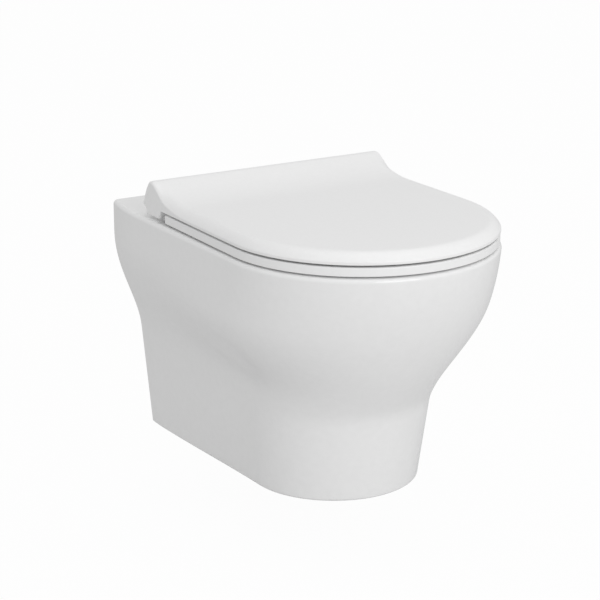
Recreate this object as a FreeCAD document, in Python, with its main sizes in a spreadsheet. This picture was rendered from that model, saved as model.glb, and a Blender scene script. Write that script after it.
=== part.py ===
"""Wall hung toilet: ceramic pan, seat ring, lid and the two hinges that carry them.

Heights are measured up from the pan's bottom edge and depths forward from the
wall. The row's origin is the point on the wall midway between the two wall
studs, so every body is placed down by the studs' height. +Z is up, the pan
reaches out along -Y and the part is symmetric about the YZ plane.
"""
import FreeCAD, Part
import math
import os

import Sketcher
from FreeCAD import Vector

SIZES = {
    # ceramic pan, outside
    "pan_height": 327.0,
    "pan_front_limit": 527.6,
    "pan_half_width": 179.5,
    "wall_taper": 11.3,
    "wall_flare_radius": 360.0,
    "foot_depth": 399.6,
    "foot_half_width": 110.9,
    "foot_half_width_at_wall": 115.5,
    "foot_side_swell": 1.2,
    "skirt_rake_front": 0.166,
    "skirt_rake_side": 0.102,
    "waist_start_at_wall": 144.7,
    "waist_end_at_wall": 283.7,
    "waist_start_side": 138.7,
    "waist_end_side": 248.2,
    "waist_start_front": 110.8,
    "waist_end_front": 359.9,
    "waist_lead_front": 0.707,
    "rim_round": 5.0,
    # ceramic pan, inside
    "skin_thickness": 12.0,
    "back_grinding": 1.0,
    "rim_thickness": 22.0,
    "back_thickness": 14.0,
    "bowl_wall": 10.0,
    "rim_width_side": 57.5,
    "rim_width_front": 55.75,
    "bowl_mouth_back": 190.0,
    "bowl_floor_half_width": 33.0,
    "bowl_floor_back": 224.0,
    "bowl_floor_front": 298.0,
    "bowl_floor_height": 84.0,
    "trap_bore_radius": 28.0,
    "trap_wall": 9.0,
    "trap_dip_drop": 26.0,
    "trap_dip_ahead": 14.0,
    "trap_entry_rise": 60.0,
    "trap_entry_ahead": 52.0,
    "trap_crest_rise": 112.0,
    "trap_crest_behind": 73.0,
    "trap_foot_behind": 60.0,
    "trap_dip_throat": 3.0,
    "trap_crest_throat": 5.0,
    "trap_foot_throat": 23.0,
    # wall connections
    "studs_below_deck": 75.0,
    "stud_spacing": 180.0,
    "stud_hole_radius": 10.0,
    "stud_boss_radius": 20.0,
    "stud_boss_depth": 36.0,
    "deck_hole_radius": 7.0,
    "outlet_below_studs": 100.0,
    "spigot_radius": 51.0,
    "spigot_wall": 8.0,
    "spigot_depth": 66.0,
    "spigot_gap": 15.0,
    "inlet_above_studs": 35.0,
    "inlet_radius": 27.5,
    "inlet_depth": 50.0,
    "inlet_wall": 9.0,
    "flush_slot_half_width": 24.0,
    "flush_slot_height": 22.0,
    "flush_duct_wall": 9.0,
    "cut_overrun": 1.0,
    # stud sleeves
    "sleeve_bore_radius": 6.5,
    "sleeve_flange_radius": 17.0,
    "sleeve_flange": 3.0,
    # seat ring
    "seat_lift": 2.2,
    "seat_thickness": 11.3,
    "seat_setback_side": 3.0,
    "seat_setback_front": 2.15,
    "seat_back_taper": 2.9,
    "seat_heel_ahead": 36.0,
    "seat_notch_depth": 17.0,
    "seat_notch_gap": 9.5,
    "seat_band_side": 67.5,
    "seat_band_back": 41.0,
    "seat_band_front": 54.6,
    "seat_edge_round": 2.5,
    "seat_heel_round": 8.0,
    "arm_root": 8.0,
    "arm_thickness": 10.0,
    "arm_half_height": 7.0,
    # lid
    "lid_gap": 1.6,
    "lid_overhang": 0.8,
    "lid_depth": 15.1,
    "lid_plate": 5.7,
    "lid_edge_round": 8.0,
    "lid_rim_width": 9.0,
    "trim_allowance": 10.0,
    "hood_reach": 97.0,
    "hood_sweep_radius": 209.0,
    "hood_slope_ahead": 25.0,
    "hood_slope_rise": 12.8,
    "hood_crown_ahead": 11.0,
    "hood_crown_rise": 17.9,
    "hood_crown_behind": 3.5,
    "hood_crown_drop": 0.5,
    "hood_crown_radius": 16.0,
    "hood_back_radius": 80.0,
    "hood_tail_behind": 17.4,
    "hood_tail_drop": 6.2,
    "hood_back_behind": 19.6,
    "hood_heel_drop": 15.7,
    "hood_heel_radius": 7.6,
    "hood_foot_behind": 12.0,
    "hood_foot_drop": 23.2,
    "hood_foot_run": 30.0,
    "hood_shell": 4.5,
    "hood_hollow_start": 22.0,
    "hollow_lap": 3.0,
    "window_rise": 11.5,
    "window_gap": 4.5,
    "web_thickness": 10.0,
    # hinge line
    "axis_depth": 118.0,
    "axis_rise": 28.0,
    "hinge_spacing": 155.0,
    "pin_radius": 4.0,
    "pin_chamfer": 0.6,
    "running_gap": 0.05,
    "knuckle_radius": 9.8,
    "knuckle_bore_radius": 7.0,
    "knuckle_length": 36.0,
    "flange_radius": 9.0,
    "flange_thickness": 1.5,
    "flange_gap": 1.0,
    "barrel_radius": 9.5,
    "barrel_length": 21.0,
    "bracket_plate_width": 24.0,
    "bracket_plate": 2.0,
    "bracket_plate_behind": 16.0,
    "bracket_plate_ahead": 36.0,
    "bracket_plate_round": 4.0,
    "bracket_post": 7.0,
    "bracket_arm": 9.6,
    "bracket_arm_shoulder": 7.7,
    "bracket_arm_lean": 1.9,
    "bracket_bend_rise": 18.0,
    # what holds the brackets to the deck
    "pad_thickness": 1.0,
    "pad_margin": 1.0,
    "bolt_radius": 4.0,
    "bolt_length": 66.0,
    "cone_radius": 15.0,
    "cone_height": 10.0,
    "cone_nose_fit": 0.2,
    "cone_nose_height": 8.0,
    "washer_radius": 12.0,
    "washer_thickness": 1.6,
    "nut_radius": 8.0,
    "nut_height": 9.0,
    "nut_wing_span": 34.0,
    "nut_wing_thickness": 3.0,
    "nut_wing_height": 7.0,
    # buffers
    "buffer_gap": 0.3,
    "seat_buffer_radius": 9.0,
    "lid_buffer_radius": 6.0,
    "buffer_inset": 30.5,
    "front_buffer_angle": 31.0,
    "back_buffer_depth": 236.0,
    "buffer_peg_radius": 2.5,
    "buffer_peg_length": 4.0,
}

doc = FreeCAD.newDocument("WallHungToilet")
sheet = doc.addObject("Spreadsheet::Sheet", "Sizes")
for row, (alias, number) in enumerate(SIZES.items(), start=1):
    sheet.set("A%d" % row, alias.replace("_", " "))
    sheet.set("B%d" % row, str(number))
    sheet.setAlias("B%d" % row, alias)
doc.recompute()


class Size:
    """A number from the sheet together with the expression that gives it."""

    def __init__(self, value, text):
        self.value = float(value)
        self.text = text

    def __add__(self, other):
        other = as_size(other)
        return Size(self.value + other.value, "(%s + %s)" % (self.text, other.text))

    def __sub__(self, other):
        other = as_size(other)
        return Size(self.value - other.value, "(%s - %s)" % (self.text, other.text))

    def __mul__(self, other):
        other = as_size(other)
        return Size(self.value * other.value, "(%s * %s)" % (self.text, other.text))

    def __truediv__(self, other):
        other = as_size(other)
        return Size(self.value / other.value, "(%s / %s)" % (self.text, other.text))

    def __neg__(self):
        return Size(-self.value, "(0 - %s)" % self.text)

    def cosine(self):
        """Cosine of an angle held in degrees."""
        return Size(math.cos(math.radians(self.value)), "cos(%s * 1 deg)" % self.text)

    def sine(self):
        return Size(math.sin(math.radians(self.value)), "sin(%s * 1 deg)" % self.text)

    def root(self):
        return Size(math.sqrt(self.value), "sqrt(%s)" % self.text)

    def power(self, exponent):
        return Size(self.value ** exponent.value,
                    "pow(%s; %s)" % (self.text, exponent.text))


def as_size(number):
    return number if isinstance(number, Size) else Size(number, repr(float(number)))


def size(alias):
    return Size(sheet.get(alias), "Sizes." + alias)


ZERO = as_size(0.0)
ONE = as_size(1.0)
HALF_HINGE = size("hinge_spacing") / 2
HALF_STUDS = size("stud_spacing") / 2
OVERRUN = size("cut_overrun")
TRIM = size("trim_allowance")
STUD_HEIGHT = size("pan_height") - size("studs_below_deck")
OUTLET_HEIGHT = STUD_HEIGHT - size("outlet_below_studs")
INLET_HEIGHT = STUD_HEIGHT + size("inlet_above_studs")
HALF_WIDTH_AT_WALL = size("pan_half_width") - size("wall_taper")
ROOF = size("pan_height") - size("rim_thickness")
BOWL_OUTER_FLOOR = size("bowl_floor_height") - size("bowl_wall")
NEAR = 0.1


# ---------------------------------------------------------------- helpers

def new_body(name):
    """A body measured from the pan's bottom and placed against the studs.
    One that holds several like pieces keeps them as separate solids."""
    body = doc.addObject("PartDesign::Body", name)
    body.Label = name
    body.AllowCompound = True
    body.setExpression("Placement.Base.z", (-STUD_HEIGHT).text)
    return body


def new_sketch(body, role, offset=ZERO):
    """A sketch on one of the body's own planes, moved along its normal."""
    plane = [p for p in body.Origin.OriginFeatures if p.Role == role][0]
    sketch = body.newObject("Sketcher::SketchObject", body.Name + "_sketch")
    sketch.AttachmentSupport = [(plane, "")]
    sketch.MapMode = "FlatFace"
    sketch.AttachmentOffset = FreeCAD.Placement(Vector(0, 0, offset.value), FreeCAD.Rotation())
    sketch.setExpression("AttachmentOffset.Base.z", offset.text)
    return sketch


def drive(sketch, kind, arguments, amount):
    """One dimension of a sketch, bound to the sheet."""
    index = sketch.addConstraint(Sketcher.Constraint(kind, *arguments, amount.value))
    sketch.setExpression("Constraints[%d]" % index, amount.text)


def pin_point(sketch, edge, end, x, y):
    drive(sketch, "DistanceX", (-1, 1, edge, end), x)
    drive(sketch, "DistanceY", (-1, 1, edge, end), y)


def arc_middle(start, end, radius, side):
    """The middle of the short arc from start to end that bulges to one side."""
    chord = end - start
    half = chord.Length / 2
    rise = radius - math.sqrt(max(radius * radius - half * half, 0.0))
    left = Vector(-chord.y, chord.x, 0).normalize()
    return (start + end) * 0.5 + left * (side * rise)


def draw_loop(sketch, points, arcs=None):
    """A closed outline. arcs gives an edge's number its radius and its side:
    1 bulges to the left of the way from one point to the next, -1 to the right."""
    arcs = arcs or {}
    places = [Vector(x.value, y.value, 0) for x, y in points]
    edges = []
    for i, start in enumerate(places):
        end = places[(i + 1) % len(places)]
        if i in arcs:
            radius, side = arcs[i]
            middle = arc_middle(start, end, radius.value, side)
            edge = sketch.addGeometry(Part.Arc(start, middle, end), False)
        else:
            edge = sketch.addGeometry(Part.LineSegment(start, end), False)
        first = 1 if sketch.getPoint(edge, 1).distanceToPoint(start) < 1e-6 else 2
        edges.append((edge, first))
    for i, (edge, first) in enumerate(edges):
        following, its_first = edges[(i + 1) % len(edges)]
        join = Sketcher.Constraint("Coincident", edge, 3 - first, following, its_first)
        sketch.addConstraint(join)
    for (edge, first), (x, y) in zip(edges, points):
        pin_point(sketch, edge, first, x, y)
    for i, (radius, side) in arcs.items():
        drive(sketch, "Radius", (edges[i][0],), radius)


def draw_circle(sketch, x, y, radius):
    circle = Part.Circle(Vector(x.value, y.value, 0), Vector(0, 0, 1), radius.value)
    edge = sketch.addGeometry(circle, False)
    pin_point(sketch, edge, 3, x, y)
    drive(sketch, "Radius", (edge,), radius)


def draw_box(sketch, left, bottom, right, top):
    draw_loop(sketch, [(left, bottom), (right, bottom), (right, top), (left, top)])


def add_feature(body, kind, sketch, **settings):
    """A pad, pocket or loft of the body, with its sizes bound to the sheet."""
    feature = body.newObject("PartDesign::" + kind, body.Name + "_" + kind.lower())
    if sketch is not None:
        feature.Profile = sketch
    for name, value in settings.items():
        if isinstance(value, Size):
            setattr(feature, name, value.value)
            feature.setExpression(name, value.text)
        else:
            setattr(feature, name, value)
    return feature


def pad(body, sketch, length, **settings):
    return add_feature(body, "Pad", sketch, Length=length, **settings)


def pocket(body, sketch, length, **settings):
    """A cut that has to take material away: the volumes are compared."""
    before = body.Tip
    doc.recompute()
    volume = before.Shape.Volume
    cut = add_feature(body, "Pocket", sketch, Length=length, **settings)
    doc.recompute()
    if not cut.Shape.Volume < volume - 1.0:
        raise ValueError("%s cuts nothing" % cut.Name)
    return cut


def cylinder(body, role, offset, x, y, radius, length, **settings):
    sketch = new_sketch(body, role, offset)
    draw_circle(sketch, x, y, radius)
    return pad(body, sketch, length, **settings)


def drill(body, role, offset, x, y, radius, length, **settings):
    sketch = new_sketch(body, role, offset)
    draw_circle(sketch, x, y, radius)
    return pocket(body, sketch, length, **settings)


def loft(body, kind, sections):
    feature = add_feature(body, kind, sections[0])
    feature.Sections = sections[1:]
    doc.recompute()
    return feature


def round_edges(body, wanted, radius):
    """Round the edges of the body's last shape that wanted() picks."""
    doc.recompute()
    base = body.Tip
    names = []
    for number, edge in enumerate(base.Shape.Edges, start=1):
        if wanted(edge):
            names.append("Edge%d" % number)
    fillet = body.newObject("PartDesign::Fillet", body.Name + "_fillet")
    fillet.Base = (base, names)
    fillet.Radius = radius.value
    fillet.setExpression("Radius", radius.text)
    doc.recompute()
    return fillet


# ---------------------------------------------------------------- ceramic pan

LEVELS = 20
RIM_STEPS = 4
BOWL_STEPS = 8


def waist(height, start, end, lead):
    """Share of the way out from the skirt to the bowl: 0 below, 1 above.
    A lead under 1 makes the swell begin sooner than it ends."""
    share = min(max((height.value - start.value) / (end.value - start.value), 0.0), 1.0)
    clamped = "min(max((%s - %s) / (%s - %s); 0); 1)" % (
        height.text, start.text, end.text, start.text)
    value = Size(share, clamped).power(lead)
    return value * value * (as_size(3.0) - value * 2)


def profile(height, foot, rake, top, start, end, lead=ONE):
    """Reach of the pan at a height: a raked skirt that swells into the bowl."""
    skirt = foot + rake * height
    return skirt + (top - skirt) * waist(height, start, end, lead)


def reach_at(height):
    """How far the pan comes out of the wall at a height."""
    return profile(height, size("foot_depth"), size("skirt_rake_front"),
                   size("pan_front_limit"),
                   size("waist_start_front"), size("waist_end_front"),
                   size("waist_lead_front"))


def pan_section(body, height, inset, back):
    """The D of the pan at one height, moved inwards by inset and closed by a
    straight back that far in front of the wall."""
    side_rake = size("skirt_rake_side")
    at_wall = profile(height, size("foot_half_width_at_wall"), side_rake,
                      HALF_WIDTH_AT_WALL,
                      size("waist_start_at_wall"), size("waist_end_at_wall"))
    front_half = profile(height, size("foot_half_width"), side_rake,
                         size("pan_half_width"),
                         size("waist_start_side"), size("waist_end_side"))
    swell = profile(height, size("foot_side_swell"), ZERO,
                    size("wall_taper"),
                    size("waist_start_side"), size("waist_end_at_wall"))
    tip = reach_at(height)
    flare = size("wall_flare_radius")
    flare_depth = (swell * (flare * 2 - swell)).root()
    wall_x = at_wall - inset
    side_x = at_wall + swell - inset
    side_y = -(flare_depth + back)
    front_x = front_half - inset
    front_y = -(tip - front_half)
    tip_y = -(tip - inset)
    points = [(-wall_x, -back), (-side_x, side_y), (-front_x, front_y), (ZERO, tip_y),
              (front_x, front_y), (side_x, side_y), (wall_x, -back)]
    arcs = {0: (flare, -1), 2: (front_x, -1), 3: (front_x, -1), 5: (flare, -1)}
    sketch = new_sketch(body, "XY_Plane", height)
    draw_loop(sketch, points, arcs)
    return sketch


PAN_TIP = reach_at(size("pan_height"))
MOUTH_HALF_WIDTH = size("pan_half_width") - size("rim_width_side")
MOUTH_FRONT = PAN_TIP - size("rim_width_front")


def bowl_section(body, height, grow):
    """The stadium of the bowl at one height, moved outwards by grow."""
    floor = size("bowl_floor_height")
    rise = (height - floor) / (size("pan_height") - floor)
    rise = Size(max(rise.value, 0.0), "max(%s; 0)" % rise.text)
    bulge = (rise * (as_size(2.0) - rise)).root()
    half = size("bowl_floor_half_width")
    half = half + (MOUTH_HALF_WIDTH - half) * bulge + grow
    back = size("bowl_floor_back")
    back = back - (back - size("bowl_mouth_back")) * rise - grow
    front = size("bowl_floor_front")
    front = front + (MOUTH_FRONT - front) * bulge + grow
    rear_y = -(back + half)
    front_y = -(front - half)
    points = [(half, rear_y), (ZERO, -back), (-half, rear_y),
              (-half, front_y), (ZERO, -front), (half, front_y)]
    sketch = new_sketch(body, "XY_Plane", height)
    draw_loop(sketch, points, {i: (half, -1) for i in (0, 1, 3, 4)})
    return sketch


def trap_spine(body):
    """The water way's centre line: from the bowl's floor down to the dip, up
    over the crest and out to the wall, straight runs with a bend at each corner."""
    dip_depth = size("bowl_floor_back") + size("trap_dip_ahead")
    dip_height = size("bowl_floor_height") - size("trap_dip_drop")
    crest_depth = dip_depth - size("trap_crest_behind")
    end_depth = size("spigot_depth") - size("spigot_wall") * 2
    corners = [(-(dip_depth + size("trap_entry_ahead")), dip_height + size("trap_entry_rise")),
               (-dip_depth, dip_height),
               (-crest_depth, dip_height + size("trap_crest_rise")),
               (-(crest_depth - size("trap_foot_behind")), OUTLET_HEIGHT),
               (-end_depth, OUTLET_HEIGHT)]
    outside = size("trap_bore_radius") + size("trap_wall")
    bends = [outside + size("trap_dip_throat"), outside + size("trap_crest_throat"),
             outside + size("trap_foot_throat")]
    sketch = new_sketch(body, "YZ_Plane")
    places = [Vector(y.value, z.value, 0) for y, z in corners]
    runs = []
    arcs = []
    start = places[0]
    for before, corner, after, bend in zip(places, places[1:], places[2:], bends):
        arrive = (corner - before).normalize()
        leave = (after - corner).normalize()
        turn = arrive.getAngle(leave)
        set_back = bend.value * math.tan(turn / 2)
        first = corner - arrive * set_back
        last = corner + leave * set_back
        inward = (leave - arrive).normalize()
        middle = corner + inward * (bend.value / math.cos(turn / 2) - bend.value)
        runs.append(sketch.addGeometry(Part.LineSegment(start, first), False))
        arcs.append(sketch.addGeometry(Part.Arc(first, middle, last), False))
        start = last
    runs.append(sketch.addGeometry(Part.LineSegment(start, places[-1]), False))
    marks = []
    for place, (y, z) in zip(places, corners):
        mark = sketch.addGeometry(Part.Point(place), True)
        pin_point(sketch, mark, 1, y, z)
        marks.append(mark)
    for i, arc in enumerate(arcs):
        begins = 1
        if sketch.getPoint(arc, 1).distanceToPoint(sketch.getPoint(runs[i], 2)) > 1e-6:
            begins = 2
        sketch.addConstraint(Sketcher.Constraint("Tangent", runs[i], 2, arc, begins))
        sketch.addConstraint(Sketcher.Constraint("Tangent", arc, 3 - begins, runs[i + 1], 1))
        drive(sketch, "Radius", (arc,), bends[i])
        corner = marks[i + 1]
        sketch.addConstraint(Sketcher.Constraint("PointOnObject", corner, 1, runs[i]))
        sketch.addConstraint(Sketcher.Constraint("PointOnObject", corner, 1, runs[i + 1]))
    sketch.addConstraint(Sketcher.Constraint("Coincident", marks[0], 1, runs[0], 1))
    sketch.addConstraint(Sketcher.Constraint("Coincident", marks[-1], 1, runs[-1], 2))
    doc.recompute()
    return sketch


def trap_pipe(body, kind, spine, radius):
    """A round pipe of the body along the trap's centre line."""
    ring = body.newObject("Sketcher::SketchObject", body.Name + "_sketch")
    ring.AttachmentSupport = [(spine, "Edge1")]
    ring.MapMode = "NormalToEdge"
    draw_circle(ring, ZERO, ZERO, radius)
    pipe = add_feature(body, kind, ring)
    pipe.Spine = (spine, ["Edge%d" % i for i in range(1, 8)])
    doc.recompute()
    return pipe


def bowl_loft(body, kind, bottom, top, grow):
    """The bowl's form between two heights, moved outwards by grow."""
    rise = top - bottom
    loft(body, kind,
         [bowl_section(body, bottom + rise * (i / BOWL_STEPS), grow)
          for i in range(BOWL_STEPS + 1)])


def cut_bowl_outside(body):
    bowl_loft(body, "SubtractiveLoft", BOWL_OUTER_FLOOR, ROOF, size("bowl_wall"))


def cut_bowl_inside(body):
    bowl_loft(body, "SubtractiveLoft", size("bowl_floor_height"),
              size("pan_height") + OVERRUN, ZERO)


def cut_flush_slot(body):
    """The flat water way from the inlet to the bowl's back."""
    slot = new_sketch(body, "XZ_Plane")
    inlet = INLET_HEIGHT
    half = size("flush_slot_half_width")
    rise = size("flush_slot_height") / 2
    draw_box(slot, -half, inlet - rise, half, inlet + rise)
    pocket(body, slot, size("bowl_floor_back"), Reversed=True)


def draw_inlet_block(sketch):
    """The square outside of the inlet's socket."""
    half = size("inlet_radius") + size("inlet_wall")
    inlet = INLET_HEIGHT
    draw_box(sketch, -half, inlet - half, half, inlet + half)


def make_pan():
    """The outside of the ceramic: skirt, deck and flat back, with the bosses
    for the wall studs and the duct that leads the flush to the bowl."""
    body = new_body("pan")
    height = size("pan_height")
    rim = size("rim_round")
    below_rim = height - rim
    ground = size("back_grinding")
    loft(body, "AdditiveLoft",
         [pan_section(body, below_rim * (i / LEVELS), ZERO, -ground)
          for i in range(LEVELS + 1)])
    # the rim rolls over in a quarter round, followed in equal turns
    turns = [math.pi / 2 * i / RIM_STEPS for i in range(RIM_STEPS + 1)]
    loft(body, "AdditiveLoft",
         [pan_section(body, below_rim + rim * math.sin(t), rim * (1 - math.cos(t)), -ground)
          for t in turns])
    back = new_sketch(body, "XZ_Plane")
    beyond = size("pan_half_width") + OVERRUN
    draw_box(back, -beyond, -OVERRUN, beyond, height + OVERRUN)
    pocket(body, back, ground + OVERRUN)

    loft(body, "SubtractiveLoft",
         [pan_section(body, ROOF * (i / LEVELS), size("skin_thickness"), size("back_thickness"))
          for i in range(LEVELS + 1)])

    duct = new_sketch(body, "XZ_Plane")
    inlet = INLET_HEIGHT
    half = size("flush_slot_half_width") + size("flush_duct_wall")
    rise = size("flush_slot_height") / 2 + size("flush_duct_wall")
    draw_box(duct, -half, inlet - rise, half, inlet + rise)
    pad(body, duct, size("bowl_floor_back"))
    for side in (-1, 1):
        cylinder(body, "XZ_Plane", ZERO, HALF_STUDS * side, STUD_HEIGHT,
                 size("stud_boss_radius"), size("stud_boss_depth"))

    cut_bowl_outside(body)
    cut_bowl_inside(body)
    cut_flush_slot(body)
    socket = new_sketch(body, "XZ_Plane")
    draw_inlet_block(socket)
    pocket(body, socket, size("inlet_depth"), Reversed=True)
    drill(body, "XZ_Plane", ZERO, ZERO, OUTLET_HEIGHT,
          size("spigot_radius") + size("spigot_gap"),
          size("back_thickness") + OVERRUN, Reversed=True)
    for side in (-1, 1):
        drill(body, "XZ_Plane", ZERO, HALF_STUDS * side, STUD_HEIGHT,
              size("stud_hole_radius"), size("stud_boss_depth") + OVERRUN, Reversed=True)
        drill(body, "XY_Plane", height, HALF_HINGE * side, -size("axis_depth"),
              size("deck_hole_radius"), size("rim_thickness") + OVERRUN)
    doc.recompute()
    return body


def make_bowl():
    """The bowl hangs from the underside of the deck, around its mouth."""
    body = new_body("bowl")
    bowl_loft(body, "AdditiveLoft", BOWL_OUTER_FLOOR, ROOF, size("bowl_wall"))
    cut_bowl_inside(body)
    trap_pipe(body, "SubtractivePipe", trap_spine(body), size("trap_bore_radius"))
    cut_flush_slot(body)
    return body


def make_trapway():
    """The bent pipe from the bowl's floor to the outlet's spigot."""
    body = new_body("trapway")
    spine = trap_spine(body)
    trap_pipe(body, "AdditivePipe", spine, size("trap_bore_radius") + size("trap_wall"))
    cylinder(body, "XZ_Plane", ZERO, ZERO, OUTLET_HEIGHT,
             size("spigot_radius"), size("spigot_depth"))
    cut_bowl_outside(body)
    trap_pipe(body, "SubtractivePipe", spine, size("trap_bore_radius"))
    drill(body, "XZ_Plane", ZERO, ZERO, OUTLET_HEIGHT,
          size("spigot_radius") - size("spigot_wall"),
          size("spigot_depth") - size("spigot_wall"), Reversed=True)
    return body


def make_inlet_socket():
    """The socket for the flush pipe, let into the back of the pan."""
    body = new_body("inlet_socket")
    block = new_sketch(body, "XZ_Plane")
    draw_inlet_block(block)
    draw_circle(block, ZERO, INLET_HEIGHT, size("inlet_radius"))
    pad(body, block, size("inlet_depth"))
    return body


# ---------------------------------------------------------------- wall sleeves

def make_stud_sleeves():
    body = new_body("stud_sleeves")
    bore = size("sleeve_bore_radius")
    depth = size("stud_boss_depth")
    tubes = new_sketch(body, "XZ_Plane")
    flanges = new_sketch(body, "XZ_Plane", depth)
    for side in (-1, 1):
        x = HALF_STUDS * side
        z = STUD_HEIGHT
        draw_circle(tubes, x, z, size("stud_hole_radius"))
        draw_circle(tubes, x, z, bore)
        draw_circle(flanges, x, z, size("sleeve_flange_radius"))
        draw_circle(flanges, x, z, bore)
    pad(body, tubes, depth)
    pad(body, flanges, size("sleeve_flange"))
    return body


# ---------------------------------------------------------------- hinges

DECK = size("pan_height")
AXIS_Y = -size("axis_depth")
AXIS_Z = DECK + size("axis_rise")
HALF_BARREL = size("barrel_length") / 2
KNUCKLE_START = HALF_BARREL + size("flange_thickness") + size("flange_gap")
KNUCKLE_END = KNUCKLE_START + size("knuckle_length")
SEAT_BOTTOM = DECK + size("seat_lift")
SEAT_TOP = SEAT_BOTTOM + size("seat_thickness")
SEAT_HALF = size("pan_half_width") - size("seat_setback_side")
SEAT_HALF_BACK = SEAT_HALF - size("seat_back_taper")
SEAT_FRONT = PAN_TIP - size("seat_setback_front")
SEAT_CENTRE_Y = -(SEAT_FRONT - SEAT_HALF)
SEAT_HEEL = size("axis_depth") + size("seat_heel_ahead")
SEAT_NOTCH = SEAT_HEEL + size("seat_notch_depth")
BUFFER_RING = SEAT_HALF - size("buffer_inset")
LID_BOTTOM = SEAT_TOP + size("lid_gap")
LID_TOP = LID_BOTTOM + size("lid_depth")


def hinge_x(side, near, far):
    """Where a part of a hinge starts and how long it is: near and far are
    counted outwards from the middle of that hinge when its sign is plus."""
    first = HALF_HINGE * side + near * side
    last = HALF_HINGE * side + far * side
    if side > 0:
        return first, last - first
    return last, first - last


def rod(body, start, length, radius, bore=None):
    """A round bar along the hinge line, hollow when it has a bore."""
    sketch = new_sketch(body, "YZ_Plane", start)
    draw_circle(sketch, AXIS_Y, AXIS_Z, radius)
    if bore is not None:
        draw_circle(sketch, AXIS_Y, AXIS_Z, bore)
    return pad(body, sketch, length)


def draw_plate(sketch, side, margin):
    """The foot of a bracket, or of its pad, with the hole for its stud."""
    half = size("bracket_plate_width") / 2 + margin
    x = HALF_HINGE * side
    draw_box(sketch, x - half, AXIS_Y - size("bracket_plate_ahead") - margin,
             x + half, AXIS_Y + size("bracket_plate_behind") + margin)
    draw_circle(sketch, x, AXIS_Y, size("bolt_radius"))


def make_hinge_pads():
    body = new_body("hinge_pads")
    sketch = new_sketch(body, "XY_Plane", DECK)
    for side in (-1, 1):
        draw_plate(sketch, side, size("pad_margin"))
    pad(body, sketch, size("pad_thickness"))
    round_edges(body, is_upright_corner,
                size("bracket_plate_round") + size("pad_margin"))
    return body


def is_upright_corner(edge):
    box = edge.BoundBox
    return box.XLength < NEAR and box.YLength < NEAR and not is_closed_seam(edge)


def is_closed_seam(edge):
    """True for the seam line of a round hole, which is no corner."""
    x = abs(edge.BoundBox.Center.x)
    y = edge.BoundBox.Center.y
    away = math.hypot(x - HALF_HINGE.value, y - AXIS_Y.value)
    return away < size("bolt_radius").value + NEAR


def make_hinge_bracket(name, side):
    body = new_body(name)
    foot = DECK + size("pad_thickness")
    plate = new_sketch(body, "XY_Plane", foot)
    draw_plate(plate, side, ZERO)
    pad(body, plate, size("bracket_plate"))
    round_edges(body, is_upright_corner, size("bracket_plate_round"))

    start, width = hinge_x(side, -HALF_BARREL, HALF_BARREL)
    front = AXIS_Y - size("bracket_plate_ahead")
    bend = DECK + size("bracket_bend_rise")
    half_arm = size("bracket_arm") / 2
    lean = size("bracket_arm_lean")
    inner = front + size("bracket_post")
    arm = new_sketch(body, "YZ_Plane", start)
    draw_loop(arm, [
        (front, foot + size("bracket_plate") / 2),
        (inner, foot + size("bracket_plate") / 2),
        (inner, bend - size("bracket_arm_shoulder")),
        (AXIS_Y + lean, AXIS_Z - half_arm),
        (AXIS_Y - lean, AXIS_Z + half_arm),
        (front, bend),
    ])
    pad(body, arm, width)
    rod(body, start, width, size("barrel_radius"))
    drill(body, "YZ_Plane", start, AXIS_Y, AXIS_Z, size("pin_radius"), width,
          Reversed=True)
    return body


def make_hinge_pin(name, side):
    body = new_body(name)
    start, length = hinge_x(side, -KNUCKLE_END, KNUCKLE_END)
    rod(body, start, length, size("pin_radius"))
    doc.recompute()
    bar = body.Tip
    ends = ["Edge%d" % i for i, e in enumerate(bar.Shape.Edges, start=1)
            if e.BoundBox.XLength < NEAR]
    chamfer = body.newObject("PartDesign::Chamfer", name + "_chamfer")
    chamfer.Base = (bar, ends)
    chamfer.setExpression("Size", "Sizes.pin_chamfer")
    return body


def make_seat_studs():
    body = new_body("seat_studs")
    top = DECK + size("pad_thickness") + size("bracket_plate")
    sketch = new_sketch(body, "XY_Plane", top)
    for side in (-1, 1):
        draw_circle(sketch, HALF_HINGE * side, AXIS_Y, size("bolt_radius"))
    pad(body, sketch, size("bolt_length"), Reversed=True)
    return body


def draw_washers(sketch, radius):
    for side in (-1, 1):
        draw_circle(sketch, HALF_HINGE * side, AXIS_Y, radius)
        draw_circle(sketch, HALF_HINGE * side, AXIS_Y, size("bolt_radius"))


UNDERSIDE = DECK - size("rim_thickness")


def make_cone_washers():
    body = new_body("cone_washers")
    skirt = new_sketch(body, "XY_Plane", UNDERSIDE)
    draw_washers(skirt, size("cone_radius"))
    pad(body, skirt, size("cone_height"), Reversed=True)
    nose = new_sketch(body, "XY_Plane", UNDERSIDE)
    draw_washers(nose, size("deck_hole_radius") - size("cone_nose_fit"))
    pad(body, nose, size("cone_nose_height"))
    return body


def make_seat_washers():
    body = new_body("seat_washers")
    sketch = new_sketch(body, "XY_Plane", UNDERSIDE - size("cone_height"))
    draw_washers(sketch, size("washer_radius"))
    pad(body, sketch, size("washer_thickness"), Reversed=True)
    return body


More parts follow.
